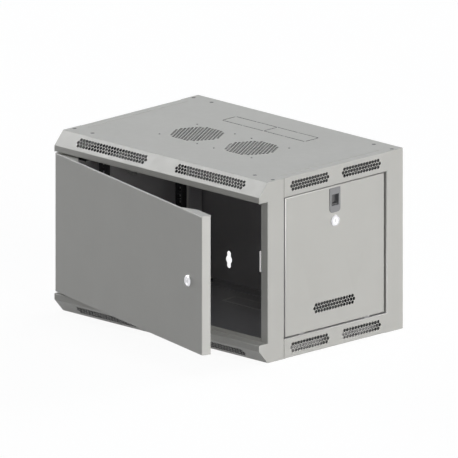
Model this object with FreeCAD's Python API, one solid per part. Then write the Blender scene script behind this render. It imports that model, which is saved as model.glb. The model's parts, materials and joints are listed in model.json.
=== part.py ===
import FreeCAD, Part
import math
import os

# Wall mount network cabinet, 6 units high, folded from sheet steel, in millimetres.
# Origin at the middle of the rear wall face. +X to the right seen from the front, +Y to the wall, +Z up.
# The door is drawn closed and then swung to the angle at which it rests.

V = FreeCAD.Vector

# Overall size
width = 570.0
depth = 400.0
height = 368.0

# Sheet metal
sheet = 1.2
rail_sheet = 2.0
bracket_sheet = 1.5
bend = 1.0
fit_gap = 0.3
seam = 0.4
paint_gap = 0.1
trim_play = 0.05
lap = 1.0

# Bevelled front nose of the two covers
nose_depth = 24.4
bevel_rise = 27.0
nose_flange = 12.5
lip_height = 7.5

# Front posts, side frames and covers
post_depth = 45.6
jamb_return = 40.0
nose_notch = 20.5
side_opening_height = 288.0
rear_post_depth = 45.0
rear_post_return = 36.0
box_depth = 20.0
stop_lip = 12.0
box_return = 16.0
step_overlap = 2.6
rear_step = 48.0
cover_edge = 10.0
tab_width = 70.0
tab_depth = 38.0

# Rear wall tray
tray_flange = 34.0
keyhole_x = 198.0
keyhole_levels = [-135.0, 102.0]
keyhole_radius = 8.5
keyhole_slot = 10.5
keyhole_length = 35.0

# Perforation: three staggered rows, drawn as slots that join the holes along their slant
hole_pitch = 7.8
slot_width = 4.6
hole_radius = 2.8
bevel_holes = 25
bevel_group_x = 136.8
rail_holes = 14
rail_group_offset = 71.85
rail_group_middle = 212.65
rail_group_z = 164.4
panel_holes = 15
panel_group_middle = 211.65
panel_group_z = -98.3

# Fan places in the covers
fan_x = 75.7
fan_y = 188.0
fan_radius = 53.0
fan_screw_spacing = 105.0
fan_screw_radius = 2.2
fan_rib = 4.0

# Cable knock-outs in the covers
knockout_half_width = 115.0
knockout_front = 297.0
knockout_rear = 336.0
knockout_slit = 2.2
knockout_tab = 2.5

# Screws of the covers
screw_inner_x = 226.0
screw_outer_x = 276.0
screw_front_y = 47.0
screw_rear_y = 378.5
screw_radius = 2.5
screw_head_radius = 4.2
screw_length = 9.0

# Rack rails, 6 units
rack_unit = 44.45
rack_units = 6
rail_inner_x = 225.0
rail_face = 20.0
rail_flange = 30.7
rail_height = 280.0
rail_hole_x = 232.55
rail_hole = 9.5
rail_hole_low = 6.35
rail_hole_step = 15.875
front_rail_y = 82.0
rear_rail_y = 295.0

# Depth brackets that carry the rails
bracket_start = 48.0
bracket_length = 340.0
bracket_bolt_inset = 8.0
bracket_web_z = 122.0
bracket_outer_flange = 22.0
bracket_inner_flange = 20.0
bracket_slot = 6.6
bracket_slot_length = 120.0
bolt_radius = 3.0
bolt_head_radius = 5.0
bolt_head = 3.0
bolt_rise = 1.0
nut_height = 4.0
thread_end = 1.0

# Door
door_width = 568.5
door_height = 283.0
door_depth = 21.5
door_left_x = -283.5
door_bottom_gap = 3.0
door_return = 15.0
door_hem = 2.6
door_full_flange = 51.0
door_taper_end = 86.0
door_corner = 2.2
hinge_inset = 8.5
hinge_depth = 10.0
door_rest_angle = 14.5
pin_radius = 3.0
pin_head_radius = 5.5
pin_head = 2.0
pin_reach = 9.0
bush_clearance = 0.05
bush_wall = 1.6
bush_collar = 1.8
bush_collar_height = 0.8
bumper_radius = 3.0
bumper_height = 2.4
bumper_drops = [54.0, 139.0, 232.0]

# Cylinder locks
lock_flange_radius = 11.2
lock_flange = 4.0
lock_flange_bevel = 1.5
lock_barrel_radius = 9.5
plug_radius = 6.5
plug_clearance = 0.05
plug_recess = 0.6
lock_nut_across = 24.0
lock_nut = 4.0
key_slot_width = 1.6
key_slot_length = 7.0
key_slot_depth = 3.0
cam_thickness = 2.0
cam_width = 12.0
cam_hub_radius = 7.0
cam_screw_radius = 2.0
cam_screw_head = 4.0
cam_screw_head_height = 2.2
cam_screw_length = 7.0
cam_screw_bore = 8.0

# Door lock and its strike
door_lock_from_edge = 50.6
door_barrel = 26.0
door_cam_length = 44.0
strike_low = -1.0
strike_height = 42.0
strike_forward = 2.2
strike_bar = 3.2
strike_foot = 12.0
strike_foot_depth = 18.0
strike_sheet = 1.5
strike_screw_reach = 4.0
cam_slot_low = -12.0
cam_slot_high = 32.0
cam_slot_depth = 8.0

# Side panels
panel_recess = 2.5
panel_front_gap = 5.0
panel_rear_gap = 4.0
panel_edge_gap = 2.0
panel_depth = 15.6
panel_tab_width = 16.0
panel_tab_length = 9.0
panel_tab_inset = 40.0
tab_slot_play = 1.0
tab_slot_inner = 9.0
tab_slot_outer = 2.0

# Side latch, a sliding bolt in a moulded housing
latch_y = 213.0
latch_low = 88.0
latch_plate_width = 30.0
latch_plate_height = 50.0
latch_plate = 1.5
latch_corner = 8.0
latch_top_corner = 1.5
latch_bevel = 0.5
latch_body_width = 23.0
latch_body_low = 97.5
latch_body_high = 134.5
latch_body_depth = 13.5
window_width = 19.5
window_low = 102.0
window_height = 23.0
bolt_width = 16.0
bolt_plate = 2.8
bolt_play = 0.4
bolt_slide_gap = 0.3
bolt_recess = 8.8
bolt_top_gap = 0.3
bolt_travel = 8.0
finger_ledge = 3.5
finger_reach = 8.0
finger_round = 1.0

# Side lock, whose cam nib enters one of two notches in the bolt's tail
side_lock_z = 71.0
side_lock_y = 212.5
side_barrel = 20.0
side_cam_tip = 24.0
side_cam_arm = 6.0
side_cam_crank = 10.4
nib_inner = 20.5
nib_height = 3.0
nib_reach = 4.0
notch_play_low = 0.5
notch_play_high = 1.8
notch_depth = 3.2
tail_left_gap = 0.5
tail_below_notch = 2.2

# Worked out from the sizes above
half_width = width / 2
half_height = height / 2
front = -depth
jamb_y = front + nose_depth
post_rear = front + nose_depth + post_depth
side_start = post_rear + seam
rear_post_y = -rear_post_depth
box_x = half_width - box_depth + seam
opening_z = side_opening_height / 2
shelf_z = half_height - bevel_rise - nose_flange
row_step = hole_pitch * math.sin(math.radians(60))
bend_out = bend + sheet
slab = 3 * sheet


def box(x_low, x_high, y_low, y_high, z_low, z_high):
    """A box between two corners."""
    size = (x_high - x_low, y_high - y_low, z_high - z_low)
    return Part.makeBox(*size, V(x_low, y_low, z_low))


def rod(radius, length, start, direction):
    """A cylinder from a point along a direction."""
    return Part.makeCylinder(radius, length, start, direction)


def mirror_x(shape):
    """The same piece on the other side of the cabinet."""
    return shape.mirror(V(0, 0, 0), V(1, 0, 0))


def mirror_z(shape):
    """The same piece upside down."""
    return shape.mirror(V(0, 0, 0), V(0, 0, 1))


def on_plane(axis, u, v):
    """A point of a section that is drawn across an axis."""
    return {"X": V(0, u, v), "Y": V(u, 0, v), "Z": V(u, v, 0)}[axis]


def rounded_face(corners):
    """A planar face through (point, radius) corners, each rounded by a tangent arc."""
    edges = []
    joints = []
    for index, (here, radius) in enumerate(corners):
        into = (here - corners[index - 1][0]).normalize()
        out = (corners[(index + 1) % len(corners)][0] - here).normalize()
        turn = into.getAngle(out)
        reach = radius * math.tan(turn / 2)
        start = here - into * reach
        end = here + out * reach
        joints.append((start, end))
        if radius > 0:
            bisector = (out - into).normalize()
            middle = here + bisector * (radius / math.cos(turn / 2) - radius)
            edges.append(Part.Arc(start, middle, end).toShape())
    for index, (start, end) in enumerate(joints):
        previous = joints[index - 1][1]
        if previous.distanceToPoint(start) > 1e-6:
            edges.append(Part.LineSegment(previous, start).toShape())
    return Part.Face(Part.Wire(Part.__sortEdges__(edges)))


def folded_sheet(axis, start, end, path, thickness=sheet, inside=bend):
    """A folded sheet: the path is one of its faces, and the metal lies to the right of it."""
    points = [FreeCAD.Vector(u, v, 0) for u, v in path]
    headings = [(after - before).normalize() for before, after in zip(points, points[1:])]
    normals = [V(heading.y, -heading.x, 0) for heading in headings]
    near = [(points[0], 0)]
    far = [(points[0] + normals[0] * thickness, 0)]
    for index in range(1, len(points) - 1):
        first = normals[index - 1]
        second = normals[index]
        offset = (first + second) * (thickness / (1 + first.dot(second)))
        left_turn = headings[index - 1].cross(headings[index]).z > 0
        near.append((points[index], inside if left_turn else inside + thickness))
        far.append((points[index] + offset, inside + thickness if left_turn else inside))
    near.append((points[-1], 0))
    far.append((points[-1] + normals[-1] * thickness, 0))
    outline = near + far[::-1]
    corners = [(on_plane(axis, point.x, point.y), radius) for point, radius in outline]
    direction = {"X": V(1, 0, 0), "Y": V(0, 1, 0), "Z": V(0, 0, 1)}[axis]
    solid = rounded_face(corners).extrude(direction * (end - start))
    solid.translate(direction * start)
    return solid


def prism(axis, start, end, outline):
    """A straight-sided plate with the given outline across an axis."""
    corners = [(on_plane(axis, u, v), 0) for u, v in outline]
    direction = {"X": V(1, 0, 0), "Y": V(0, 1, 0), "Z": V(0, 0, 1)}[axis]
    solid = rounded_face(corners).extrude(direction * (end - start))
    solid.translate(direction * start)
    return solid


def tray(tray_width, tray_height, tray_depth, corner):
    """A sheet tray with its face towards -Y, its left bottom front corner at the origin."""
    outer = Part.makeBox(tray_width, tray_depth, tray_height)
    face_edges = [edge for edge in outer.Edges if edge.BoundBox.YMax < 0.001]
    outer = outer.makeFillet(corner, face_edges)
    inner = Part.makeBox(tray_width - 2 * sheet, tray_depth, tray_height - 2 * sheet, V(sheet, sheet, sheet))
    face_edges = [edge for edge in inner.Edges if edge.BoundBox.YMax < sheet + 0.001]
    inner = inner.makeFillet(corner - sheet, face_edges)
    return outer.cut(inner)


def slanted_slot(centre, along, across, normal, position, low, high, through):
    """A cutter for one slot that follows the 60 degree slant of a staggered hole pattern."""
    half = slot_width / math.sin(math.radians(60)) / 2
    lean = 1 / math.tan(math.radians(60))
    corners = []
    for side, level in ((-1, low), (1, low), (1, high), (-1, high)):
        corners.append(centre + along * (position + lean * level + side * half) + across * level)
    face = Part.Face(Part.makePolygon(corners + corners[:1]))
    face.translate(normal * (-through))
    return face.extrude(normal * (2 * through))


def grille(centre, along, across, normal, holes):
    """Cutters for three staggered rows, the middle one with the given number of holes."""
    slots = []
    reach = row_step + hole_radius
    for index in range(holes):
        position = (index - (holes - 1) / 2) * hole_pitch
        low = -hole_radius if index == 0 else -reach
        high = hole_radius if index == holes - 1 else reach
        slots.append(slanted_slot(centre, along, across, normal, position, low, high, slab))
    return slots


def fan_vent(centre_x):
    """Cutters for one round fan grille, each line of slots split by a rib."""
    slots = []
    centre = V(centre_x, front + fan_y, half_height)
    lines = int(fan_radius / row_step)
    for index in range(-lines, lines + 1):
        position = index * hole_pitch
        chord = math.sqrt(fan_radius ** 2 - (index * row_step) ** 2) * math.sin(math.radians(60))
        middle = -position * math.sin(math.radians(60)) * math.cos(math.radians(60))
        for low, high in ((middle - chord, middle - fan_rib / 2), (middle + fan_rib / 2, middle + chord)):
            if high - low > hole_radius:
                slots.append(slanted_slot(centre, V(1, 0, 0), V(0, 1, 0), V(0, 0, 1), position, low, high,
                                          slab))
    return slots


def knockouts():
    """Cutters for the slits round the two cable knock-outs, with tabs left between them."""
    slits = []
    half_slit = knockout_slit / 2
    half_cell = knockout_half_width / 4
    for y in (knockout_front, knockout_rear):
        for cell in range(-4, 4, 2):
            middle = (cell + 1) * half_cell
            reach = half_cell - knockout_tab / 2
            slits.append((middle - reach, middle + reach, y - half_slit, y + half_slit))
    for x in (-knockout_half_width, 0, knockout_half_width):
        slits.append((x - half_slit, x + half_slit,
                      knockout_front + knockout_tab, knockout_rear - knockout_tab))
    level = half_height - slab
    return [box(x0, x1, front + y0, front + y1, level, half_height + slab) for x0, x1, y0, y1 in slits]


def cover_screw_places():
    """Where the screws pass through a cover, as X and Y."""
    places = []
    for y in (screw_front_y, screw_rear_y):
        for x in (-screw_outer_x, -screw_inner_x, screw_inner_x, screw_outer_x):
            places.append((x, front + y))
    return places


def countersink(x, y):
    """The flush head of a cover screw, and the hole that it fills."""
    return Part.makeCone(screw_radius, screw_head_radius, sheet, V(x, y, half_height - sheet), V(0, 0, 1))


def make_cover():
    """The upper cover without fan places: one sheet, folded from the door stop to the wall."""
    plate_half = half_width - sheet - paint_gap
    path = [
        (jamb_y, shelf_z - lip_height),
        (jamb_y, shelf_z),
        (front, shelf_z),
        (front, half_height - bevel_rise),
        (jamb_y, half_height),
        (0, half_height),
    ]
    cover = folded_sheet("X", -plate_half, plate_half, path)
    step_front = side_start + step_overlap
    edge_x = half_width - box_depth + seam / 2
    trim = edge_x - bend_out
    strip = folded_sheet(
        "Y",
        step_front,
        -rear_step,
        [(edge_x - cover_edge, half_height), (edge_x, half_height), (edge_x, half_height - cover_edge)],
    )
    cuts = []
    for side in (-1, 1):
        low, high = sorted((side * trim, side * half_width))
        cuts.append(box(low, high, step_front, -rear_step, half_height - slab, half_height + slab))
        low, high = sorted((side * (half_width - nose_notch), side * half_width))
        cuts.append(box(low, high, front + bend_out, jamb_y + slab, shelf_z - lip_height - lap, shelf_z))
        cuts.append(box(low, high, jamb_y - trim_play, jamb_y + slab, shelf_z - lap, shelf_z + slab))
    cover = cover.cut(Part.makeCompound(cuts)).fuse([strip, mirror_x(strip)]).removeSplitter()
    holes = knockouts()
    bevel_centre_y = front + nose_depth / 2
    bevel_centre_z = half_height - bevel_rise / 2
    up_bevel = V(0, nose_depth, bevel_rise).normalize()
    out_of_bevel = V(0, -bevel_rise, nose_depth).normalize()
    for side in (-1, 1):
        centre = V(side * bevel_group_x, bevel_centre_y, bevel_centre_z)
        holes += grille(centre, V(1, 0, 0), up_bevel, out_of_bevel, bevel_holes)
        pin = V(side * (-door_left_x - hinge_inset), hinge_y(), shelf_z - slab)
        holes.append(rod(pin_radius, 2 * slab, pin, V(0, 0, 1)))
    for x, y in cover_screw_places():
        holes.append(countersink(x, y))
    return cover.cut(Part.makeCompound(holes))


def fan_places():
    """Cutters for the two fan places of the top cover: a grille and four screw holes each."""
    holes = []
    for side in (-1, 1):
        holes += fan_vent(side * fan_x)
        for corner_x in (-1, 1):
            for corner_y in (-1, 1):
                x = side * fan_x + corner_x * fan_screw_spacing / 2
                y = front + fan_y + corner_y * fan_screw_spacing / 2
                holes.append(rod(fan_screw_radius, 2 * slab, V(x, y, half_height - slab), V(0, 0, 1)))
    return Part.makeCompound(holes)


def make_post():
    """The right front post: jamb, side plate with the two nose ends, and the fold behind it."""
    plate_front = jamb_y + bend_out
    plate_rear = post_rear - bend_out
    outline = [
        (plate_rear, -half_height),
        (jamb_y, -half_height),
        (front, -half_height + bevel_rise),
        (front, -shelf_z),
        (plate_front, -shelf_z),
        (plate_front, shelf_z),
        (front, shelf_z),
        (front, half_height - bevel_rise),
        (jamb_y, half_height),
        (plate_rear, half_height),
    ]
    side_plate = prism("X", half_width - sheet, half_width, outline)
    jamb_x = half_width - box_depth
    jamb = folded_sheet(
        "Z",
        -shelf_z,
        shelf_z,
        [
            (half_width, plate_front + lap),
            (half_width, jamb_y),
            (jamb_x, jamb_y),
            (jamb_x, jamb_y + jamb_return),
        ],
    )
    inside_top = half_height - sheet
    fold_path = [(jamb_x, post_rear), (half_width, post_rear), (half_width, plate_rear - lap)]
    fold = folded_sheet("Z", -half_height, half_height, fold_path)
    fold = fold.cut(box(0, half_width - sheet, front, 0, inside_top, half_height))
    fold = fold.cut(box(0, half_width - sheet, front, 0, -half_height, -inside_top))
    lip_y = post_rear - sheet
    lip_path = [(jamb_x + 2 * bend_out, lip_y), (jamb_x, lip_y), (jamb_x, post_rear + stop_lip)]
    lip_reach = opening_z - stop_lip - fit_gap
    lip = folded_sheet("Z", -lip_reach, lip_reach, lip_path)
    tab_x = half_width - tab_width
    tab_start = jamb_y + sheet + lap
    tab = box(tab_x, half_width - sheet, tab_start, tab_start + tab_depth, inside_top - sheet, inside_top)
    post = side_plate.fuse([jamb, fold, lip, tab, mirror_z(tab)])
    cuts = []
    for x, y in cover_screw_places():
        if x > 0 and y < post_rear:
            cuts.append(rod(screw_radius, height + 2 * slab, V(x, y, -half_height - slab), V(0, 0, 1)))
    cuts += bracket_bolt_holes(jamb_x - slab, jamb_x + slab, front_bolt_y())
    cuts += frame_bolt_holes()
    cam_y = jamb_y + sheet + bend
    cuts.append(box(jamb_x - lap, jamb_x + slab, cam_y - bend, cam_y + cam_slot_depth,
                    cam_slot_low, cam_slot_high))
    cuts.append(rod(cam_screw_radius, 2 * slab, strike_screw_place(), V(1, 0, 0)))
    post = post.cut(Part.makeCompound(cuts))
    return post.removeSplitter()


def front_bolt_y():
    """Where the front bolts of the depth brackets sit."""
    return front + bracket_start + bracket_bolt_inset


def rear_bolt_y():
    """Where the rear bolts of the depth brackets sit."""
    return rear_post_y + rear_post_return / 2


def bracket_bolt_z():
    """Height of the bolts that hold a depth bracket."""
    return bracket_web_z + bracket_outer_flange / 2 + bolt_rise


def bracket_bolt_holes(x_low, x_high, y):
    """Holes across X for the bolts of the upper and the lower bracket."""
    holes = []
    for side in (-1, 1):
        start = V(x_low, y, side * bracket_bolt_z())
        holes.append(rod(bolt_radius, x_high - x_low, start, V(1, 0, 0)))
    return holes


def frame_bolt_places():
    """Where the bolts between a front post and its side frame sit, as X and Z."""
    x = half_width - box_depth / 2
    return [(x, side * (half_height + opening_z) / 2) for side in (-1, 1)]


def frame_bolt_holes():
    """Holes along Y through the post's fold and the side frame's end flange."""
    holes = []
    for x, z in frame_bolt_places():
        holes.append(rod(bolt_radius, 2 * slab, V(x, post_rear - slab, z), V(0, 1, 0)))
    return holes


def make_side_frame():
    """The right side frame: one sheet round the panel opening, with box edges."""
    plate = prism(
        "X",
        half_width - sheet,
        half_width,
        [
            (side_start, -half_height),
            (0, -half_height),
            (0, half_height),
            (side_start, half_height),
            (side_start, opening_z + bend_out),
            (rear_post_y + bend_out, opening_z + bend_out),
            (rear_post_y + bend_out, -opening_z - bend_out),
            (side_start, -opening_z - bend_out),
        ],
    )
    step_front = side_start + step_overlap
    rail = folded_sheet(
        "Y",
        step_front,
        -rear_step,
        [
            (box_x, half_height - box_return),
            (box_x, half_height),
            (half_width, half_height),
            (half_width, half_height - bend_out - lap),
        ],
    )
    top_cut = box(half_width - bend_out, half_width + lap, step_front, -rear_step,
                  half_height - bend_out, half_height)
    edge = folded_sheet(
        "Y",
        side_start,
        rear_post_y + sheet,
        [
            (half_width, opening_z + bend_out + lap),
            (half_width, opening_z),
            (box_x + sheet, opening_z),
            (box_x + sheet, opening_z - stop_lip),
        ],
    )
    edge_end = box(0, half_width + lap, rear_post_y, 0, 0, opening_z)
    edge = edge.cut(edge_end)
    jamb = folded_sheet(
        "Z",
        -opening_z - sheet,
        opening_z + sheet,
        [
            (box_x, rear_post_y + rear_post_return),
            (box_x, rear_post_y),
            (half_width, rear_post_y),
            (half_width, rear_post_y + bend_out + lap),
        ][::-1],
    )
    end_flange = box(
        box_x + sheet + seam,
        half_width - sheet,
        post_rear,
        post_rear + sheet,
        opening_z + sheet,
        half_height - 2 * sheet - seam,
    )
    plate = plate.cut(Part.makeCompound([top_cut, mirror_z(top_cut)]))
    parts = [rail, edge, end_flange]
    parts += [mirror_z(part) for part in parts]
    frame = plate.fuse(parts + [jamb])
    cuts = frame_bolt_holes()
    cuts += bracket_bolt_holes(box_x - slab, box_x + slab, rear_bolt_y())
    slot_low = half_width - panel_recess - tab_slot_inner + tab_slot_outer
    for y in panel_tab_centres():
        half = panel_tab_width / 2 + tab_slot_play
        cuts.append(box(slot_low, half_width - tab_slot_outer, y - half, y + half,
                        -opening_z - slab, -opening_z + lap))
    bolt_half = bolt_width / 2 + tab_slot_play
    bolt_outer = half_width - panel_recess - bolt_recess + tab_slot_play
    bolt_inner = bolt_outer - bolt_plate - 2 * tab_slot_play
    y = front + latch_y
    cuts.append(box(bolt_inner, bolt_outer, y - bolt_half, y + bolt_half, opening_z - lap, opening_z + slab))
    cuts.append(box(0, half_width - sheet, rear_post_y - lap, 0, half_height - 2 * sheet, half_height))
    cuts.append(box(0, half_width - sheet, rear_post_y - lap, 0, -half_height, -half_height + 2 * sheet))
    for side in (-1, 1):
        for offset in (-1, 1):
            middle = front + rail_group_middle + offset * rail_group_offset
            centre = V(half_width, middle, side * rail_group_z)
            cuts += grille(centre, V(0, 1, 0), V(0, 0, 1), V(1, 0, 0), rail_holes)
    return frame.cut(Part.makeCompound(cuts)).removeSplitter()


def keyhole(x, z):
    """A cutter for a double-ended keyhole in the rear wall."""
    reach = keyhole_length / 2
    half = keyhole_slot / 2
    slot = box(x - half, x + half, -slab, slab, z - reach + half, z + reach - half)
    ends = [rod(half, 2 * slab, V(x, -slab, z + side * (reach - half)), V(0, 1, 0)) for side in (-1, 1)]
    return slot.fuse(ends + [rod(keyhole_radius, 2 * slab, V(x, -slab, z), V(0, 1, 0))])


def make_rear_panel():
    """The rear wall: a tray between the side frames and the covers, hung by four keyholes."""
    tray_width = width - 2 * sheet
    tray_height = height - 2 * sheet
    shape = tray(tray_width, tray_height, tray_flange, bend_out)
    shape.rotate(V(0, 0, 0), V(0, 0, 1), 180)
    shape.translate(V(tray_width / 2, 0, -tray_height / 2))
    side_flange = rear_post_depth - rear_post_return - seam
    cuts = []
    for side in (-1, 1):
        low, high = sorted((side * (tray_width / 2 - 2 * sheet), side * half_width))
        reach = tray_height / 2 - sheet
        cuts.append(box(low, high, -tray_flange - lap, -side_flange, -reach, reach))
        for level in keyhole_levels:
            cuts.append(keyhole(side * keyhole_x, level))
    for x, y in cover_screw_places():
        if y > -tray_flange:
            cuts.append(rod(screw_radius, height, V(x, y, -half_height), V(0, 0, 1)))
    return shape.cut(Part.makeCompound(cuts))


def make_cover_screws():
    """The eight flush screws of the top cover."""
    screws = []
    for x, y in cover_screw_places():
        shank = rod(screw_radius, screw_length - sheet, V(x, y, half_height - screw_length), V(0, 0, 1))
        screws.append(countersink(x, y).fuse(shank).removeSplitter())
    return Part.makeCompound(screws)


def rack_hole_levels():
    """Heights of the square holes of a rack rail."""
    levels = []
    base = -rack_units * rack_unit / 2
    for unit in range(rack_units):
        for step in range(3):
            levels.append(base + unit * rack_unit + rail_hole_low + step * rail_hole_step)
    return levels


def rail_bolt_z():
    """Height of the bolts between a rack rail and its depth brackets."""
    return bracket_web_z + bracket_sheet + bracket_inner_flange / 2


def make_rack_rail(face_y):
    """A right-hand rack rail with its face towards the door."""
    outer = rail_inner_x + rail_face
    path = [(rail_inner_x, face_y), (outer, face_y), (outer, face_y + rail_flange)]
    rail = folded_sheet("Z", -rail_height / 2, rail_height / 2, path[::-1], rail_sheet, bend)
    half = rail_hole / 2
    cuts = []
    for z in rack_hole_levels():
        cuts.append(box(rail_hole_x - half, rail_hole_x + half, face_y - lap, face_y + slab,
                        z - half, z + half))
    for side in (-1, 1):
        start = V(outer - slab, face_y + rail_flange / 2, side * rail_bolt_z())
        cuts.append(rod(bolt_radius, 2 * slab, start, V(1, 0, 0)))
    return rail.cut(Part.makeCompound(cuts))


def make_bracket():
    """The upper right depth bracket, a channel between the front and the rear post."""
    outer_x = half_width - box_depth
    inner_x = rail_inner_x + rail_face
    start = front + bracket_start
    path = [
        (inner_x, bracket_web_z + bracket_inner_flange),
        (inner_x, bracket_web_z),
        (outer_x, bracket_web_z),
        (outer_x, bracket_web_z + bracket_outer_flange),
    ][::-1]
    bracket = folded_sheet("Y", start, start + bracket_length, path, bracket_sheet, bend)
    cuts = []
    for y in (front_bolt_y(), rear_bolt_y()):
        cuts.append(rod(bolt_radius, 2 * slab, V(outer_x - slab, y, bracket_bolt_z()), V(1, 0, 0)))
    half = bracket_slot / 2
    for middle in (front + front_rail_y + rail_flange / 2, front + rear_rail_y + rail_flange / 2):
        room = min(middle - start, start + bracket_length - middle) - bolt_head_radius
        reach = min(bracket_slot_length / 2, room)
        cuts.append(box(inner_x - lap, inner_x + slab, middle - reach, middle + reach,
                        rail_bolt_z() - half, rail_bolt_z() + half))
    return bracket.cut(Part.makeCompound(cuts))


def bolt(start, direction, length):
    """A hexagon bolt, pushed in from the start along the direction."""
    head = hexagon(2 * bolt_head_radius, bolt_head, start - direction * bolt_head, direction)
    return head.fuse(rod(bolt_radius, length, start, direction)).removeSplitter()


def hexagon(across, length, start, direction):
    """A hexagonal prism round an axis, with two corners up and down."""
    radius = across / 2 / math.cos(math.radians(30))
    up = V(0, 0, 1)
    side = direction.cross(up)
    corners = []
    for index in range(6):
        angle = math.radians(60 * index)
        corners.append(start + up * (radius * math.cos(angle)) + side * (radius * math.sin(angle)))
    return Part.Face(Part.makePolygon(corners + corners[:1])).extrude(direction * length)


def hexagon_nut(across, bore, length, start, direction):
    """A hexagon nut round an axis."""
    return hexagon(across, length, start, direction).cut(rod(bore, length, start, direction))


def bolt_and_nut(start, direction, wall):
    """A bolt through walls of the given thickness, with its nut behind them."""
    nut = hexagon_nut(2 * bolt_head_radius, bolt_radius, nut_height, start + direction * wall, direction)
    return [bolt(start, direction, wall + nut_height + thread_end), nut]


def make_bracket_bolts():
    """Bolts with nuts that hold the depth brackets, on the right side."""
    inner = half_width - box_depth - bracket_sheet
    pieces = []
    for side in (-1, 1):
        for y in (front_bolt_y(), rear_bolt_y()):
            start = V(inner, y, side * bracket_bolt_z())
            wall = bracket_sheet + sheet + (seam if y > -depth / 2 else 0)
            pieces += bolt_and_nut(start, V(1, 0, 0), wall)
    return pieces


def make_rail_bolts():
    """Bolts with nuts between the rack rails and the depth brackets, on the right side."""
    inner = rail_inner_x + rail_face - rail_sheet
    wall = rail_sheet + bracket_sheet
    pieces = []
    for side in (-1, 1):
        for face_y in (front_rail_y, rear_rail_y):
            start = V(inner, front + face_y + rail_flange / 2, side * rail_bolt_z())
            pieces += bolt_and_nut(start, V(1, 0, 0), wall)
    return pieces


def make_frame_bolts():
    """Bolts with nuts between the front posts and the side frames, on the right side."""
    pieces = []
    for x, z in frame_bolt_places():
        start = V(x, post_rear - sheet, z)
        pieces += bolt_and_nut(start, V(0, 1, 0), 2 * sheet)
    return pieces


def make_strike():
    """The strike on the right jamb: a bar in front of the cam and a foot with its screw."""
    face_x = half_width - box_depth
    y_front = jamb_y - strike_forward
    top = strike_low + strike_height
    bar = box(face_x - strike_sheet, face_x, y_front, y_front + strike_bar, strike_low, top)
    foot = box(face_x - strike_sheet, face_x, y_front, y_front + strike_foot_depth, top - strike_foot, top)
    shape = bar.fuse(foot).removeSplitter()
    return shape.cut(rod(cam_screw_radius, 2 * slab, strike_screw_place(), V(1, 0, 0)))


def strike_screw_place():
    """A point on the axis of the strike's screw."""
    y = jamb_y - strike_forward + strike_foot_depth - strike_foot / 2
    return V(half_width - box_depth - slab, y, strike_low + strike_height - strike_foot / 2)


def make_strike_screw():
    """The screw of the strike."""
    place = strike_screw_place()
    start = V(half_width - box_depth - strike_sheet, place.y, place.z)
    head = rod(cam_screw_head, cam_screw_head_height, start - V(cam_screw_head_height, 0, 0), V(1, 0, 0))
    shank = rod(cam_screw_radius, strike_sheet + sheet + strike_screw_reach, start, V(1, 0, 0))
    return head.fuse(shank).removeSplitter()


def door_bottom():
    """Height of the door's lower edge."""
    return -shelf_z + door_bottom_gap


def hinge_x():
    """X of the door's pivot axis."""
    return door_left_x + hinge_inset


def hinge_y():
    """Y of the door's pivot axis."""
    return front + hinge_depth


def swing_door(shape):
    """Turns a piece of the closed door to the angle at which the door rests."""
    shape.rotate(V(hinge_x(), hinge_y(), 0), V(0, 0, 1), -door_rest_angle)
    return shape


def make_door():
    """The closed door: a tray whose top and bottom flanges are full only near the ends."""
    shape = tray(door_width, door_height, door_depth, door_corner)
    middle = prism(
        "Z",
        -lap,
        door_height + lap,
        [
            (door_full_flange, door_depth + lap),
            (door_full_flange, door_depth),
            (door_taper_end, door_hem),
            (door_width - door_taper_end, door_hem),
            (door_width - door_full_flange, door_depth),
            (door_width - door_full_flange, door_depth + lap),
        ],
    )
    trim_y = door_depth - door_return / 3
    trims = [middle]
    for edge_x in (0, door_width - sheet):
        trims.append(box(edge_x, edge_x + sheet, trim_y, door_depth, sheet, door_height - sheet))
    shape = shape.cut(Part.makeCompound(trims))
    fold_path = [(0, trim_y), (0, door_depth), (door_return, door_depth)]
    fold = folded_sheet("Z", sheet, door_height - sheet, fold_path)
    other_fold = fold.mirror(V(door_width / 2, 0, 0), V(1, 0, 0))
    shape = shape.fuse([fold, other_fold]).removeSplitter()
    shape.translate(V(door_left_x, front, door_bottom()))
    bush = pin_radius + bush_clearance + bush_wall
    cuts = [rod(bush, door_height + 2 * lap, V(hinge_x(), hinge_y(), door_bottom() - lap), V(0, 0, 1))]
    cuts.append(rod(lock_barrel_radius, 2 * slab, V(door_lock_x(), front - slab, door_lock_z()), V(0, 1, 0)))
    return shape.cut(Part.makeCompound(cuts))


def make_hinge_bush(level, upwards):
    """A flanged bush in one of the door's end flanges."""
    bore = pin_radius + bush_clearance
    base = V(hinge_x(), hinge_y(), level)
    body = rod(bore + bush_wall, sheet + bush_collar_height, base, upwards)
    collar_start = base - upwards * bush_collar_height
    collar = rod(bore + bush_wall + bush_collar, bush_collar_height, collar_start, upwards)
    hole = rod(bore, door_height, base - upwards * door_height / 2, upwards)
    return body.fuse(collar).cut(hole)


def make_hinge_pin(upwards):
    """A riveted pivot pin: its head lies inside the nose and its shank passes the shelf."""
    shelf = V(hinge_x(), hinge_y(), 0) + V(0, 0, shelf_z) * (1 if upwards.z < 0 else -1)
    head = rod(pin_head_radius, pin_head, shelf - upwards * (sheet + pin_head), upwards)
    gap = door_bottom_gap if upwards.z > 0 else 2 * shelf_z - door_height - door_bottom_gap
    shank = rod(pin_radius, sheet + gap + pin_reach, shelf - upwards * sheet, upwards)
    return head.fuse(shank).removeSplitter()


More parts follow.
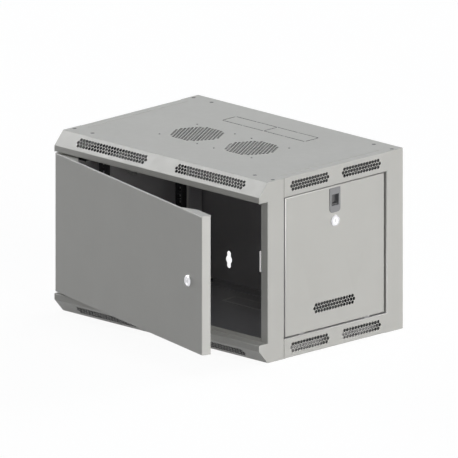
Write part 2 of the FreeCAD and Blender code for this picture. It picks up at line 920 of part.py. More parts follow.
def make_bumpers():
    """The three rubber bumpers on the free edge of the door."""
    x = door_left_x + door_width - door_return / 2
    pieces = []
    for drop in bumper_drops:
        start = V(x, front + door_depth, door_bottom() + door_height - drop)
        bumper = rod(bumper_radius, bumper_height, start, V(0, 1, 0))
        rim = [edge for edge in bumper.Edges if edge.BoundBox.YMin > start.y + bumper_height - 0.001]
        pieces.append(bumper.makeChamfer(bumper_radius / 2, rim))
    return pieces


def door_lock_x():
    """X of the door lock when the door is closed."""
    return door_left_x + door_width - door_lock_from_edge


def door_lock_z():
    """Height of the door lock."""
    return door_bottom() + door_height / 2


def lock_housing(barrel):
    """A lock housing with its axis along +Y into the cabinet, its collar on the plane Y = 0."""
    collar = rod(lock_flange_radius, lock_flange, V(0, -lock_flange, 0), V(0, 1, 0))
    rim = [edge for edge in collar.Edges if edge.BoundBox.YMax < -lock_flange + 0.001]
    collar = collar.makeChamfer(lock_flange_bevel, rim)
    body = collar.fuse(rod(lock_barrel_radius, barrel, V(0, 0, 0), V(0, 1, 0)))
    bore_start = V(0, -lock_flange - lap, 0)
    return body.cut(rod(plug_radius + plug_clearance, barrel + 2 * lock_flange, bore_start, V(0, 1, 0)))


def lock_plug(barrel):
    """The turning plug of a lock, with the mouth of its key slot."""
    plug_start = V(0, plug_recess - lock_flange, 0)
    plug = rod(plug_radius, barrel + lock_flange - plug_recess, plug_start, V(0, 1, 0))
    half = key_slot_width / 2
    reach = key_slot_length / 2
    mouth = box(-half, half, -lock_flange, -lock_flange + key_slot_depth, -reach, reach)
    screw_hole = rod(cam_screw_radius, cam_screw_bore, V(0, barrel - cam_screw_bore, 0), V(0, 1, 0))
    return plug.cut(mouth).cut(screw_hole)


def lock_nut_shape():
    """The nut that holds a lock against the back of its sheet."""
    return hexagon_nut(lock_nut_across, lock_barrel_radius, lock_nut, V(0, sheet, 0), V(0, 1, 0))


def lock_cam(barrel, length):
    """A straight cam that points up from the plug."""
    hub = rod(cam_hub_radius, cam_thickness, V(0, barrel, 0), V(0, 1, 0))
    arm = box(-cam_width / 2, cam_width / 2, barrel, barrel + cam_thickness, 0, length)
    corners = [edge for edge in arm.Edges
               if edge.BoundBox.ZMin > length - 0.001 and edge.BoundBox.XLength < 0.001]
    arm = arm.makeFillet(cam_width / 4, corners)
    cam = hub.fuse(arm).removeSplitter()
    return cam.cut(rod(cam_screw_radius, 2 * slab, V(0, barrel - slab, 0), V(0, 1, 0)))


def lock_cam_screw(barrel):
    """The screw that holds the cam on the plug."""
    back = barrel + cam_thickness
    head = rod(cam_screw_head, cam_screw_head_height, V(0, back, 0), V(0, 1, 0))
    shank = rod(cam_screw_radius, cam_screw_length, V(0, back - cam_screw_length, 0), V(0, 1, 0))
    return head.fuse(shank).removeSplitter()


def side_cam():
    """The cranked cam of a side lock, turned down to the side, with its nib."""
    plate_y = side_barrel + cam_thickness - side_cam_crank
    half = side_cam_arm / 2
    reach = lock_barrel_radius + lap
    hub = rod(cam_hub_radius, cam_thickness, V(0, side_barrel, 0), V(0, 1, 0))
    inner_arm = box(-half, half, side_barrel, side_barrel + cam_thickness, 0, reach + cam_thickness)
    crank = box(-half, half, plate_y - cam_thickness, side_barrel + cam_thickness,
                reach, reach + cam_thickness)
    outer_arm = box(-half, half, plate_y - cam_thickness, plate_y, reach, side_cam_tip)
    nib = box(half - lap, half + nib_reach, plate_y - cam_thickness, plate_y,
              nib_inner, nib_inner + nib_height)
    cam = hub.fuse([inner_arm, crank, outer_arm, nib]).removeSplitter()
    return cam.cut(rod(cam_screw_radius, 2 * slab, V(0, side_barrel - slab, 0), V(0, 1, 0)))


def place_door_lock(shape):
    """Moves a lock piece to the closed door and swings it with the door."""
    shape.translate(V(door_lock_x(), front, door_lock_z()))
    return swing_door(shape)


def place_on_side(shape):
    """Moves a piece drawn with its axis along +Y and its place at the origin to the right panel."""
    shape.rotate(V(0, 0, 0), V(0, 0, 1), 90)
    shape.translate(V(half_width - panel_recess, 0, 0))
    return shape


def place_side_lock(shape):
    """Moves a lock piece to the right side panel."""
    placed = place_on_side(shape)
    placed.translate(V(0, front + side_lock_y, side_lock_z))
    return placed


def panel_tab_centres():
    """Where the hooks of the side panel's lower edge sit along Y."""
    inset = panel_tab_inset + panel_tab_width / 2
    return [post_rear + panel_front_gap + inset, rear_post_y - panel_rear_gap - inset]


def make_side_panel():
    """The right side panel: a tray with two hooks below, a grille and the latch cut-out."""
    panel_width = rear_post_y - post_rear - panel_front_gap - panel_rear_gap
    panel_height = side_opening_height - 2 * panel_edge_gap
    shape = tray(panel_width, panel_height, panel_depth, bend_out)
    shape = place_on_side(shape)
    shape.translate(V(0, post_rear + panel_front_gap, -panel_height / 2))
    face_x = half_width - panel_recess
    hooks = []
    for y in panel_tab_centres():
        low = -panel_height / 2 - panel_tab_length
        hooks.append(box(face_x - 2 * sheet, face_x - sheet, y - panel_tab_width / 2, y + panel_tab_width / 2,
                         low, -panel_height / 2 + 2 * sheet))
    shape = shape.fuse(hooks).removeSplitter()
    y = front + latch_y
    half = latch_body_width / 2 + fit_gap / 2
    cuts = [box(face_x - slab, face_x + lap, y - half, y + half, latch_body_low - fit_gap / 2,
                latch_body_high + fit_gap / 2)]
    bolt_half = bolt_width / 2 + bolt_play
    bolt_outer = face_x - bolt_recess + bolt_slide_gap
    bolt_inner = face_x - bolt_recess - bolt_plate - bolt_slide_gap
    cuts.append(box(bolt_inner, bolt_outer, y - bolt_half, y + bolt_half,
                    panel_height / 2 - slab, panel_height / 2 + lap))
    lock_start = V(face_x - slab, front + side_lock_y, side_lock_z)
    cuts.append(rod(lock_barrel_radius, 2 * slab, lock_start, V(1, 0, 0)))
    centre = V(face_x, front + panel_group_middle, panel_group_z)
    cuts += grille(centre, V(0, 1, 0), V(0, 0, 1), V(1, 0, 0), panel_holes)
    return shape.cut(Part.makeCompound(cuts))


def make_latch_housing():
    """The moulded housing of the side latch, with its finger window and the bolt's channel."""
    face_x = half_width - panel_recess
    y = front + latch_y
    half = latch_plate_width / 2
    top = latch_low + latch_plate_height
    corners = [
        (V(face_x, y - half, latch_low), latch_corner),
        (V(face_x, y + half, latch_low), latch_corner),
        (V(face_x, y + half, top), latch_top_corner),
        (V(face_x, y - half, top), latch_top_corner),
    ]
    plate = rounded_face(corners).extrude(V(latch_plate, 0, 0))
    rim = [edge for edge in plate.Edges if edge.BoundBox.XMin > face_x + latch_plate - 0.001]
    plate = plate.makeChamfer(latch_bevel, rim)
    body_half = latch_body_width / 2
    body = box(face_x - latch_body_depth, face_x, y - body_half, y + body_half,
               latch_body_low, latch_body_high)
    channel_half = bolt_width / 2 + bolt_play
    channel_outer = face_x - bolt_recess + bolt_slide_gap
    channel_inner = face_x - bolt_recess - bolt_plate - bolt_slide_gap
    channel = box(channel_inner, channel_outer, y - channel_half, y + channel_half,
                  latch_body_low - lap, latch_body_high + lap)
    window = box(channel_outer - trim_play, face_x + latch_plate + lap,
                 y - window_width / 2, y + window_width / 2, window_low, window_low + window_height)
    return plate.fuse(body).cut(Part.makeCompound([channel, window])).removeSplitter()


def make_latch_bolt():
    """The sliding bolt: tongue at its top, finger ledge in the window and a notched tail below."""
    face_x = half_width - panel_recess
    y = front + latch_y
    outer = face_x - bolt_recess
    inner = outer - bolt_plate
    half = bolt_width / 2
    top = opening_z - panel_edge_gap - bolt_top_gap
    nib_low = side_lock_z + nib_inner
    notch_high = nib_low + nib_height + notch_play_high
    tail_left = front + side_lock_y + side_cam_arm / 2 + tail_left_gap
    tail_low = nib_low - notch_play_low - bolt_travel - tail_below_notch
    shoulder = side_lock_z + side_cam_tip + bolt_slide_gap + lap
    plate = box(inner, outer, y - half, y + half, shoulder, top)
    tail = box(inner, outer, tail_left, y + half, tail_low, shoulder)
    ledge = box(outer - trim_play, outer + finger_reach, y - half, y + half,
                window_low + bolt_slide_gap, window_low + bolt_slide_gap + finger_ledge)
    rim = [edge for edge in ledge.Edges
           if edge.BoundBox.XMin > outer + finger_reach - 0.001 and edge.BoundBox.ZLength < 0.001]
    ledge = ledge.makeFillet(finger_round, rim)
    notches = []
    for drop in (0, bolt_travel):
        notches.append(box(inner - lap, outer + lap, tail_left - lap, tail_left + notch_depth + tail_left_gap,
                           nib_low - notch_play_low - drop, notch_high - drop))
    return plate.fuse([tail, ledge]).removeSplitter().cut(Part.makeCompound(notches))


def export(name, shape):
    """Writes one sub-part, after a check that its solids are sound."""
    if not shape.isValid():
        print("not valid:", name)
    if len(shape.Solids) == 1:
        shape = shape.Solids[0]
    shape.exportStep("parts/" + name + ".step")
    print(name, "solids", len(shape.Solids), "volume", round(shape.Volume))


def export_pair(name, shape):
    """Writes a right-hand piece and its left-hand mirror image."""
    export(name + "_right", shape)
    export(name + "_left", mirror_x(shape))


def export_both_sides(name, pieces):
    """Writes right-hand fasteners and their mirror images as one group."""
    export(name, Part.makeCompound(pieces + [mirror_x(piece) for piece in pieces]))


def main():
    """Builds every sub-part."""
    os.makedirs("parts", exist_ok=True)
    cover = make_cover()
    export("top_cover", cover.cut(fan_places()))
    export("bottom_cover", mirror_z(cover))
    screws = make_cover_screws()
    export("cover_screws_top", screws)
    export("cover_screws_bottom", mirror_z(screws))
    export_pair("front_post", make_post())
    export_pair("side_frame", make_side_frame())
    export("rear_panel", make_rear_panel())
    export_both_sides("frame_bolts", make_frame_bolts())
    for name, face_y in (("rack_rail_front", front_rail_y), ("rack_rail_rear", rear_rail_y)):
        export_pair(name, make_rack_rail(front + face_y))
    bracket = make_bracket()
    export_pair("depth_bracket_upper", bracket)
    export_pair("depth_bracket_lower", mirror_z(bracket))
    export_both_sides("bracket_bolts", make_bracket_bolts())
    export_both_sides("rail_bolts", make_rail_bolts())
    export("door_strike", make_strike())
    export("strike_screw", make_strike_screw())
    export("hinge_pin_upper", make_hinge_pin(V(0, 0, -1)))
    export("hinge_pin_lower", make_hinge_pin(V(0, 0, 1)))
    export("door_panel", swing_door(make_door()))
    top = door_bottom() + door_height
    export("hinge_bush_upper", swing_door(make_hinge_bush(top, V(0, 0, -1))))
    export("hinge_bush_lower", swing_door(make_hinge_bush(door_bottom(), V(0, 0, 1))))
    export("door_bumpers", swing_door(Part.makeCompound(make_bumpers())))
    export("door_lock_housing", place_door_lock(lock_housing(door_barrel)))
    export("door_lock_nut", place_door_lock(lock_nut_shape()))
    export("door_lock_plug", place_door_lock(lock_plug(door_barrel)))
    export("door_lock_cam", place_door_lock(lock_cam(door_barrel, door_cam_length)))
    export("door_lock_cam_screw", place_door_lock(lock_cam_screw(door_barrel)))
    export_pair("side_panel", make_side_panel())
    export_pair("side_latch_housing", make_latch_housing())
    export_pair("side_latch_bolt", make_latch_bolt())
    export_pair("side_lock_housing", place_side_lock(lock_housing(side_barrel)))
    export_pair("side_lock_nut", place_side_lock(lock_nut_shape()))
    export_pair("side_lock_plug", place_side_lock(lock_plug(side_barrel)))
    cam = side_cam()
    cam.rotate(V(0, 0, 0), V(0, 1, 0), -90)
    export_pair("side_lock_cam", place_side_lock(cam))
    export_pair("side_lock_cam_screw", place_side_lock(lock_cam_screw(side_barrel)))


main()
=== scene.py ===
import bmesh
import bpy
import json
import math
from mathutils import Matrix, Vector


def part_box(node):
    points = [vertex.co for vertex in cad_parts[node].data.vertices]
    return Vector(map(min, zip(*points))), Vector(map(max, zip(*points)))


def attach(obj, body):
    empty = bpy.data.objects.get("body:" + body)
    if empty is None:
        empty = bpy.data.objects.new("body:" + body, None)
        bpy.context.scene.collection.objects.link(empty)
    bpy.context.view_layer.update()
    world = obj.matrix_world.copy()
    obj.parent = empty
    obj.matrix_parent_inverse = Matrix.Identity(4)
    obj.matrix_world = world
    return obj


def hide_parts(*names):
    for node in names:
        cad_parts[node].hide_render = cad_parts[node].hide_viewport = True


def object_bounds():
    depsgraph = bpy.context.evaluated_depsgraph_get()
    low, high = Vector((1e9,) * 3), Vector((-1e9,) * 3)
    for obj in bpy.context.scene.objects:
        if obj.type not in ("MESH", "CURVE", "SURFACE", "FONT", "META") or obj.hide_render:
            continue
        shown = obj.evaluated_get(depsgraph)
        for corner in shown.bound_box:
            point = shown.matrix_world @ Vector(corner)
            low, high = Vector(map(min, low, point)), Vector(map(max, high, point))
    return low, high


# Wall mount network cabinet: camera, light, finishes, and the sheets with their real round holes.
# Metres, in the frame of the cabinet: +X right, +Y to the wall, +Z up.

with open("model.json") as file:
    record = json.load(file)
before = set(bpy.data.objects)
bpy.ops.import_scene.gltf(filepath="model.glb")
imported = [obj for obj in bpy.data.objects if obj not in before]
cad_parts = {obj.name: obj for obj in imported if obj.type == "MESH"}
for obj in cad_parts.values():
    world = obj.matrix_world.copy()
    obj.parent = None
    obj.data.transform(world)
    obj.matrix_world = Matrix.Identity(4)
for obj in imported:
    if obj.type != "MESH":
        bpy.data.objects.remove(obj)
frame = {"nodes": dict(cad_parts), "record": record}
cad_box = [list(corner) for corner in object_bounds()]
nodes = frame["nodes"]
slots = {part["node"]: part["material_slot"] for part in frame["record"]["subparts"]}

# Body, from the boxes of its sheets
top_low, top_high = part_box("top_cover")
body_top = top_high.z
body_front = top_low.y
body_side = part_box("side_frame_right")[1].x

# Camera
azimuth = math.radians(45)
elevation = math.radians(15)
look_at = Vector((-0.0008, -0.1981, 0.0018))
view_width = 0.9018
camera_distance = 6.0

# Floor and light
floor_size = 12.0
floor_gap = 0.0002
floor_glow = 0.93
floor_shade = 0.1
floor_pale = 0.45
ambient = 0.22
ambient_colour = (0.975, 0.99, 1, 1)
cool = (0.87, 1.0, 1.12)
warm = (1.0, 0.995, 0.975)

# Sheet and perforation; the plates that close the slots stand out from the sheet by plate_lift on both faces
sheet = 0.0012
plate_lift = 0.00001
plate_thickness = sheet + 2 * plate_lift
disc_sides = 48
hole_radius = 0.0035
hole_sides = 20
hole_pitch = 0.0078
row_step = hole_pitch * math.sin(math.radians(60))
hole_margin = 0.0005
punch_length = 0.008

# Bevelled nose of the covers
nose_depth = 0.0244
bevel_rise = 0.027
bevel_group_x = 0.1368
bevel_holes = 25

# Rails of the side frames above and below the side panels
rail_group_y = -0.18735
rail_group_offset = 0.07185
rail_group_z = 0.1644
rail_holes = 14

# Side panels
panel_group_y = -0.18835
panel_group_z = -0.0983
panel_holes = 15
panel_recess = 0.0025

# Fan places
fan_x = 0.0757
fan_y = -0.212
fan_radius = 0.053
fan_hole_radius = 0.0029

# Square holes in the sides of the rack rails, clear of the depth brackets
rack_unit = 0.04445
rack_units = 6
holes_per_unit = 3
rail_hole = 0.0095
rail_hole_low = 0.00635
rail_hole_step = 0.015875
rail_sheet = 0.002
side_hole_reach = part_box("depth_bracket_upper_right")[0].z - rail_hole

# Key slots in the lock plugs, which get painted shade: depths below the plug's face, and how far off its
# axis
slot_skip = 0.0005
slot_depth = 0.0031
slot_reach = 0.004
door_rest_angle = math.radians(14.5)

# Painted shade inside the body: faces that lie deeper than the outer skin and behind inside_front, apart
# from the rear jambs of the side openings. They are jamb_reach wide, and their faces look to the front by a
# cosine of facing or more.
skin = 0.0009
inside_front = -0.37
jamb_reach = 0.02
facing = 0.9

# Part of the top cover where the walls of slits and screw holes get painted shade, and how far from both of
# its faces
cut_reach_x = 0.25
cut_front = -0.31
cut_rear = -0.05
cut_clear = 0.0001

# Welding and shading of the sheets
weld_distance = 1e-6
sharp_angle = math.radians(30)


# Finishes


def new_material(name):
    """A material with its node tree and its main shader."""
    material = bpy.data.materials.new(name)
    material.use_nodes = True
    tree = material.node_tree
    shader = tree.nodes["Principled BSDF"]
    return material, tree, shader


def noise(tree, coordinates, scale, detail, roughness=0.5):
    """A noise texture at the given coordinates."""
    node = tree.nodes.new("ShaderNodeTexNoise")
    node.inputs["Scale"].default_value = scale
    node.inputs["Detail"].default_value = detail
    node.inputs["Roughness"].default_value = roughness
    tree.links.new(coordinates, node.inputs["Vector"])
    return node.outputs["Fac"]


def object_coordinates(tree):
    """Object coordinates, which are metres in the frame of the cabinet."""
    return tree.nodes.new("ShaderNodeTexCoord").outputs["Object"]


def spread(tree, value, low, high):
    """Maps the middle of a noise's range to a range of its own."""
    node = tree.nodes.new("ShaderNodeMapRange")
    node.inputs["From Min"].default_value = 0.3
    node.inputs["From Max"].default_value = 0.7
    node.inputs["To Min"].default_value = low
    node.inputs["To Max"].default_value = high
    tree.links.new(value, node.inputs["Value"])
    return node.outputs["Result"]


def two_tone(tree, value, colour, change):
    """A colour that varies a little with a value."""
    node = tree.nodes.new("ShaderNodeMix")
    node.data_type = "RGBA"
    for socket, factor in (("A", 1 - change), ("B", 1 + change)):
        shade = tuple(min(1.0, part * factor) for part in colour) + (1.0,)
        next(i for i in node.inputs if i.name == socket and i.type == "RGBA").default_value = shade
    tree.links.new(value, node.inputs["Factor"])
    return next(o for o in node.outputs if o.type == "RGBA")


def bump(tree, shader, height, strength, distance):
    """Bump from a height value."""
    node = tree.nodes.new("ShaderNodeBump")
    node.inputs["Strength"].default_value = strength
    node.inputs["Distance"].default_value = distance
    tree.links.new(height, node.inputs["Height"])
    tree.links.new(node.outputs["Normal"], shader.inputs["Normal"])


def linear(value):
    """A screen value from 0 to 255 as linear light."""
    part = value / 255
    return part / 12.92 if part <= 0.04045 else ((part + 0.055) / 1.055) ** 2.4


def screen_colour(red, green, blue):
    """A screen colour as linear light."""
    return tuple(linear(part) for part in (red, green, blue))


def powder_coat(name, colour, roughness):
    """Fine-textured powder coat."""
    material, tree, shader = new_material(name)
    place = object_coordinates(tree)
    cloud = noise(tree, place, scale=9.0, detail=3)
    tone = two_tone(tree, spread(tree, cloud, 0, 1), colour, change=0.02)
    tree.links.new(tone, shader.inputs["Base Color"])
    patch = noise(tree, place, scale=60.0, detail=4)
    tree.links.new(spread(tree, patch, roughness - 0.04, roughness + 0.04), shader.inputs["Roughness"])
    grain = noise(tree, place, scale=900.0, detail=3, roughness=0.6)
    bump(tree, shader, grain, strength=0.12, distance=0.0002)
    return material


def plated(name, colour, roughness):
    """Zinc or chrome plate with a faint mottle."""
    material, tree, shader = new_material(name)
    shader.inputs["Metallic"].default_value = 1.0
    place = object_coordinates(tree)
    cloud = noise(tree, place, scale=180.0, detail=4)
    tone = two_tone(tree, spread(tree, cloud, 0, 1), colour, change=0.07)
    tree.links.new(tone, shader.inputs["Base Color"])
    grain = noise(tree, place, scale=700.0, detail=3)
    tree.links.new(spread(tree, grain, roughness - 0.08, roughness + 0.08), shader.inputs["Roughness"])
    bump(tree, shader, grain, strength=0.05, distance=0.0001)
    return material


def moulded(name, colour, roughness):
    """A smooth finish with a fine grain: moulded plastic, rubber, or small glossy metal."""
    material, tree, shader = new_material(name)
    place = object_coordinates(tree)
    cloud = noise(tree, place, scale=40.0, detail=3)
    tone = two_tone(tree, spread(tree, cloud, 0, 1), colour, change=0.04)
    tree.links.new(tone, shader.inputs["Base Color"])
    tree.links.new(spread(tree, cloud, roughness - 0.05, roughness + 0.05), shader.inputs["Roughness"])
    grain = noise(tree, place, scale=1200.0, detail=2, roughness=0.6)
    bump(tree, shader, grain, strength=0.2, distance=0.0001)
    return material


finishes = {
    "painted_sheet": powder_coat("painted_sheet", screen_colour(188, 187, 183), 0.42),
    "black_rails": powder_coat("black_rails", screen_colour(38, 38, 40), 0.38),
    "zinc_fasteners": plated("zinc_fasteners", screen_colour(165, 166, 168), 0.35),
    "black_screws": moulded("black_screws", screen_colour(72, 72, 74), 0.4),
    "zinc_strike": moulded("zinc_strike", screen_colour(245, 245, 245), 0.35),
    "zinc_cams": plated("zinc_cams", screen_colour(190, 190, 188), 0.35),
    "lock_chrome": plated("lock_chrome", screen_colour(225, 225, 228), 0.2),
    "lock_core": plated("lock_core", screen_colour(225, 225, 227), 0.35),
    "latch_plastic": moulded("latch_plastic", screen_colour(120, 120, 123), 0.5),
    "bolt_plastic": moulded("bolt_plastic", screen_colour(70, 70, 72), 0.45),
    "bush_plastic": moulded("bush_plastic", screen_colour(225, 225, 220), 0.5),
    "bumper_rubber": moulded("bumper_rubber", screen_colour(245, 245, 243), 0.5),
}
# Painted shade: near-black on the walls of holes, slits and key slots, which lie in shade
painted_hole_shade = moulded("painted_hole_shade", screen_colour(40, 40, 41), 0.6)
# Painted shade: a darker grey on the faces inside the body and in the seams around the side panels
painted_shade_inside = powder_coat("painted_shade_inside", screen_colour(170, 168, 170), 0.5)

# Material indices of a sheet, in the order of finishes_of
hole_shade_index = 1
inside_shade_index = 2


def finishes_of(name):
    """The finishes of a node's sheet: outside paint, painted shade on hole and slit walls, and painted shade
    inside.
    """
    return finishes[slots[name]], painted_hole_shade, painted_shade_inside


# Meshes


def new_object(name, mesh):
    """A new object in the scene."""
    obj = bpy.data.objects.new(name, mesh)
    bpy.context.scene.collection.objects.link(obj)
    return obj


def to_object(name, mesh, finish_list=()):
    """Turns a mesh under construction into an object with the given finishes."""
    data = bpy.data.meshes.new(name)
    mesh.to_mesh(data)
    mesh.free()
    for finish in finish_list:
        data.materials.append(finish)
    return new_object(name, data)


def turned(normal, along):
    """A turn whose X is along and whose Z is the normal."""
    across = normal.cross(along)
    return Matrix((along, across, normal)).transposed().to_4x4()


def add_prism(mesh, centre, turn, radius, sides, length):
    """Adds a round or square prism with its middle at the centre."""
    bmesh.ops.create_cone(
        mesh,
        cap_ends=True,
        segments=sides,
        radius1=radius,
        radius2=radius,
        depth=length,
        matrix=Matrix.Translation(centre) @ turn,
    )


def add_plate(mesh, centre, normal, along, size):
    """Adds a box as thick as the sheet, with its outer face at the centre."""
    middle = centre - normal * (sheet / 2)
    scale = Matrix.Diagonal((size[0], size[1], plate_thickness, 1))
    bmesh.ops.create_cube(mesh, size=1, matrix=Matrix.Translation(middle) @ turned(normal, along) @ scale)


def three_rows(centre, normal, along, holes):
    """Centres of three staggered rows of holes, with the given number in the middle row."""
    across = normal.cross(along)
    places = []
    for row in (-1, 0, 1):
        count = holes - abs(row)
        for index in range(count):
            step = (index - (count - 1) / 2) * hole_pitch
            places.append(centre + along * step + across * (row * row_step))
    return places


def fan_places(centre):
    """Centres of the holes of a round fan grille."""
    rows = int(fan_radius / row_step)
    reach = int(fan_radius / hole_pitch) + 1
    places = []
    for row in range(-rows, rows + 1):
        offset = 0.5 if row % 2 else 0.0
        for index in range(-reach, reach):
            spot = Vector(((index + offset) * hole_pitch, row * row_step, 0))
            if spot.length <= fan_radius:
                places.append(centre + spot)
    return places


def grille(plates, punches, centre, normal, along, holes):
    """Closes a group of slots and punches the staggered round holes."""
    length = (holes - 1) * hole_pitch + 2 * (hole_radius + hole_pitch / 2)
    width = 2 * (row_step + hole_radius + hole_margin)
    add_plate(plates, centre, normal, along, (length, width))
    for place in three_rows(centre, normal, along, holes):
        add_prism(punches, place, turned(normal, along), hole_radius, hole_sides, punch_length)


def fan_grille(plates, punches, centre, normal, along):
    """Closes the slots of a fan place and punches its round holes."""
    turn = turned(normal, along)
    middle = centre - normal * (sheet / 2)
    disc_radius = fan_radius + hole_radius + hole_margin
    add_prism(plates, middle, turn, disc_radius, disc_sides, plate_thickness)
    for place in fan_places(centre):
        add_prism(punches, place, turn, fan_hole_radius, hole_sides, punch_length)


def combine(obj, tool, operation):
    """Joins a tool to an object or cuts it away, and removes the tool."""
    modifier = obj.modifiers.new(operation.lower(), "BOOLEAN")
    modifier.object = tool
    modifier.operation = operation
    modifier.solver = "MANIFOLD"
    graph = bpy.context.evaluated_depsgraph_get()
    data = bpy.data.meshes.new_from_object(obj.evaluated_get(graph))
    obj.modifiers.clear()
    obj.data = data
    bpy.data.objects.remove(tool)


def in_hole_shade(face):
    """Whether a face is a wall of a slit or screw hole in the flat of the top cover, which gets painted
    shade.
    """
    place = face.calc_center_median()
    in_sheet = body_top - sheet + cut_clear < place.z < body_top - cut_clear
    return in_sheet and abs(place.x) < cut_reach_x and cut_front < place.y < cut_rear


def in_painted_shade(face, name):
    """Whether a painted face lies behind the outer skin, apart from the rear jambs of the side openings, and
    so gets painted shade.
    """
    place = face.calc_center_median()
    if name.startswith("side_panel"):
        return abs(place.x) < body_side - panel_recess - skin
    behind_skin = abs(place.x) < body_side - skin and abs(place.z) < body_top - skin
    on_jamb = face.normal.y < -facing and abs(place.x) > body_side - jamb_reach
    return behind_skin and inside_front < place.y < -skin and not on_jamb


def copy_of_node(name):
    """A welded copy of a CAD node's mesh as a new object, with painted shade on slit and screw hole walls
    and on inside faces.
    """
    mesh = bmesh.new()
    mesh.from_mesh(nodes[name].data)
    mesh.transform(nodes[name].matrix_world)
    bmesh.ops.remove_doubles(mesh, verts=mesh.verts, dist=weld_distance)
    # Painted shade: near-black on the walls of slits and screw holes, a darker grey on the faces inside the
    # body
    for face in mesh.faces:
        if in_hole_shade(face):
            face.material_index = hole_shade_index
        elif slots[name] == "painted_sheet" and in_painted_shade(face, name):
            face.material_index = inside_shade_index
    return to_object(name + "_sheet", mesh, finishes_of(name))


def weigh_normals(obj):
    """Keeps large flat faces flat beside their small rounded folds."""
    weights = obj.modifiers.new("weights", "WEIGHTED_NORMAL")
    weights.keep_sharp = True
    weights.weight = 100


def stand_in(obj, name, body):
    """Shades a sheet and puts it in its node's place."""
    obj.data.shade_smooth()
    obj.data.set_sharp_from_angle(angle=sharp_angle)
    weigh_normals(obj)
    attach(obj, body)
    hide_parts(name)


def perforated(name, body, plates, punches):
    """The CAD node with its slots closed and its real holes punched, in the node's place."""
    obj = copy_of_node(name)
    if len(plates.verts):
        combine(obj, to_object("plates", plates, finishes_of(name)), "UNION")
    # The walls of the punched holes get painted shade
    for face in punches.faces:
        face.material_index = hole_shade_index
    combine(obj, to_object("punches", punches, finishes_of(name)), "DIFFERENCE")
    stand_in(obj, name, body)


def plain_sheet(name, body):
    """A CAD node's sheet with welded and well shaded faces."""
    stand_in(copy_of_node(name), name, body)


# Sheets and plugs


def make_cover(name, up):
    """A cover: two groups of holes in the bevel, and two fan grilles in the top one."""
    plates = bmesh.new()
    punches = bmesh.new()
    along = Vector((1, 0, 0))
    bevel_out = Vector((0, -bevel_rise, up * nose_depth)).normalized()
    bevel_middle = Vector((0, body_front + nose_depth / 2, up * (body_top - bevel_rise / 2)))
    for side in (-1, 1):
        centre = bevel_middle + along * (side * bevel_group_x)
        grille(plates, punches, centre, bevel_out, along, bevel_holes)
        if up > 0:
            centre = Vector((side * fan_x, fan_y, body_top))
            fan_grille(plates, punches, centre, Vector((0, 0, 1)), along)
    perforated(name, "cabinet", plates, punches)


def make_side_frame(name, side):
    """A side frame: two groups of holes in the rail above and in the rail below the panel."""
    plates = bmesh.new()
    punches = bmesh.new()
    for up in (-1, 1):
        for end in (-1, 1):
            centre = Vector((side * body_side, rail_group_y + end * rail_group_offset, up * rail_group_z))
            grille(plates, punches, centre, Vector((side, 0, 0)), Vector((0, 1, 0)), rail_holes)
    perforated(name, "cabinet", plates, punches)


def make_side_panel(name, side):
    """A side panel, which is a body of its own: one group of holes low down."""
    plates = bmesh.new()
    punches = bmesh.new()
    centre = Vector((side * (body_side - panel_recess), panel_group_y, panel_group_z))
    grille(plates, punches, centre, Vector((side, 0, 0)), Vector((0, 1, 0)), panel_holes)
    perforated(name, name, plates, punches)


def make_rack_rail(name, side):
    """A rack rail with the square holes of its side flange."""
    low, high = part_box(name)
    outer = high.x if side > 0 else low.x
    middle_y = (low.y + high.y) / 2 + rail_sheet / 2
    punches = bmesh.new()
    turn = turned(Vector((side, 0, 0)), Vector((0, 1, 1)).normalized())
    for unit in range(rack_units):
        for step in range(holes_per_unit):
            z = (unit - rack_units / 2) * rack_unit + rail_hole_low + step * rail_hole_step
            if abs(z) < side_hole_reach:
                centre = Vector((outer, middle_y, z))
                add_prism(punches, centre, turn, rail_hole / math.sqrt(2), 4, punch_length)
    perforated(name, "cabinet", bmesh.new(), punches)


def make_plug(name, outwards, body):
    """A lock's plug with painted shade in its key slot; outwards is the way its face looks."""
    obj = copy_of_node(name)
    low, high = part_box(name)
    middle = (low + high) / 2
    face_level = max(vertex.co.dot(outwards) for vertex in obj.data.vertices)
    for face in obj.data.polygons:
        depth = face_level - face.center.dot(outwards)
        off_axis = face.center - middle
        off_axis -= outwards * off_axis.dot(outwards)
        # Painted shade in the key slot
        if slot_skip < depth < slot_depth and off_axis.length < slot_reach:
            face.material_index = hole_shade_index
    stand_in(obj, name, body)


make_cover("top_cover", 1)
make_cover("bottom_cover", -1)
for side, side_name in ((1, "right"), (-1, "left")):
    make_side_frame("side_frame_" + side_name, side)
    make_side_panel("side_panel_" + side_name, side)
    plain_sheet("front_post_" + side_name, "cabinet")
    for row in ("front", "rear"):
        make_rack_rail("rack_rail_%s_%s" % (row, side_name), side)
    make_plug("side_lock_plug_" + side_name, Vector((side, 0, 0)), "side_lock_" + side_name)
plain_sheet("rear_panel", "cabinet")
door_outwards = Vector((-math.sin(door_rest_angle), -math.cos(door_rest_angle), 0))
make_plug("door_lock_plug", door_outwards, "door_lock")

for name, obj in nodes.items():
    obj.data.materials.clear()
    obj.data.materials.append(finishes[slots[name]])


# Floor, light and camera


def seen_directly(tree):
    """1 for camera, glossy and transmission rays."""
    path = tree.nodes.new("ShaderNodeLightPath")
    value = path.outputs["Is Camera Ray"]
    for name in ("Is Glossy Ray", "Is Transmission Ray"):
        node = tree.nodes.new("ShaderNodeMath")
        node.operation = "MAXIMUM"
        tree.links.new(value, node.inputs[0])
        tree.links.new(path.outputs[name], node.inputs[1])
        value = node.outputs[0]
    return value


def diffuse(tree, shade):
    """A matt grey shader."""
    node = tree.nodes.new("ShaderNodeBsdfDiffuse")
    node.inputs["Color"].default_value = (shade, shade, shade, 1)
    return node.outputs[0]


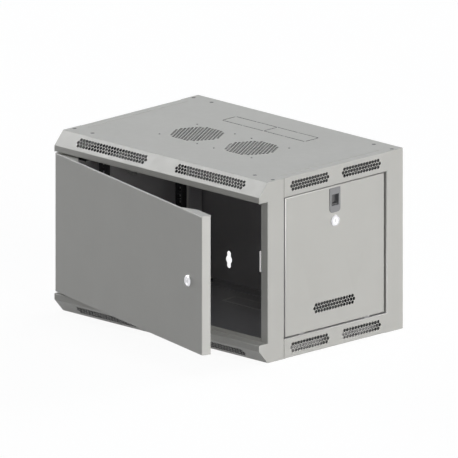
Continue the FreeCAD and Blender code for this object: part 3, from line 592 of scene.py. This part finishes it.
def choose(tree, otherwise, direct, output):
    """Sends one shader to directly seen rays and another to the rest."""
    choice = tree.nodes.new("ShaderNodeMixShader")
    tree.links.new(seen_directly(tree), choice.inputs["Fac"])
    tree.links.new(otherwise, choice.inputs[1])
    tree.links.new(direct, choice.inputs[2])
    tree.links.new(choice.outputs[0], tree.nodes[output].inputs["Surface"])


def make_floor():
    """A pale floor that looks white and keeps a faint shadow."""
    mesh = bmesh.new()
    place = Matrix.Translation((0, 0, cad_box[0][2] - floor_gap))
    bmesh.ops.create_grid(mesh, x_segments=2, y_segments=2, size=floor_size, matrix=place)
    obj = to_object("floor", mesh)
    material, tree, shader = new_material("floor")
    tree.nodes.remove(shader)
    glow = tree.nodes.new("ShaderNodeEmission")
    glow.inputs["Strength"].default_value = floor_glow
    shown = tree.nodes.new("ShaderNodeAddShader")
    tree.links.new(glow.outputs[0], shown.inputs[0])
    tree.links.new(diffuse(tree, floor_shade), shown.inputs[1])
    choose(tree, diffuse(tree, floor_pale), shown.outputs[0], "Material Output")
    obj.data.materials.append(material)


def make_world():
    """White where it is seen, and a weak even light on the object."""
    world = bpy.data.worlds.new("studio")
    world.use_nodes = True
    tree = world.node_tree
    light = tree.nodes["Background"]
    light.inputs["Color"].default_value = ambient_colour
    light.inputs["Strength"].default_value = ambient
    white = tree.nodes.new("ShaderNodeBackground")
    white.inputs["Color"].default_value = (1, 1, 1, 1)
    white.inputs["Strength"].default_value = 1.0
    choose(tree, light.outputs[0], white.outputs[0], "World Output")
    bpy.context.scene.world = world


def add_lamp(name, direction, level, spread_angle, colour=(1, 1, 1), reflected=True, lit=True):
    """An even light from one side; level is how bright a white sheet facing it renders."""
    data = bpy.data.lights.new(name, "SUN")
    data.angle = math.radians(spread_angle)
    data.energy = level * math.pi
    data.color = colour
    obj = new_object(name, data)
    away = Vector(direction).normalized()
    obj.location = look_at + away * camera_distance
    obj.rotation_euler = away.to_track_quat("Z", "Y").to_euler()
    obj.visible_glossy = reflected
    obj.visible_diffuse = lit


def add_camera():
    """A camera without perspective at the photograph's angle."""
    data = bpy.data.cameras.new("camera")
    data.type = "ORTHO"
    data.ortho_scale = view_width
    back = Vector((
        math.sin(azimuth) * math.cos(elevation),
        -math.cos(azimuth) * math.cos(elevation),
        math.sin(elevation),
    ))
    obj = new_object("camera", data)
    obj.location = look_at + back * camera_distance
    obj.rotation_euler = back.to_track_quat("Z", "Y").to_euler()
    bpy.context.scene.camera = obj


make_floor()
make_world()
add_lamp("key", (0.75, -0.11, 0.2), level=0.53, spread_angle=30, colour=warm)
add_lamp("left", (-1.0, 0.0, 0.05), level=0.53, spread_angle=30)
add_lamp("top", (0.0, 0.1, 1.0), level=0.12, spread_angle=30, colour=cool)
add_lamp("rear", (0.1, 1.0, 0.2), level=0.6, spread_angle=38, reflected=False)
# Two lights that show only as a sheen on the sheets
add_lamp("card", (-0.683, -0.326, 0.652), level=0.92, spread_angle=40, colour=warm, lit=False)
add_lamp("card_right", (0.93, 0.27, 0.03), level=2.9, spread_angle=20, colour=warm, lit=False)
add_camera()
bpy.context.scene.view_settings.view_transform = "Standard"
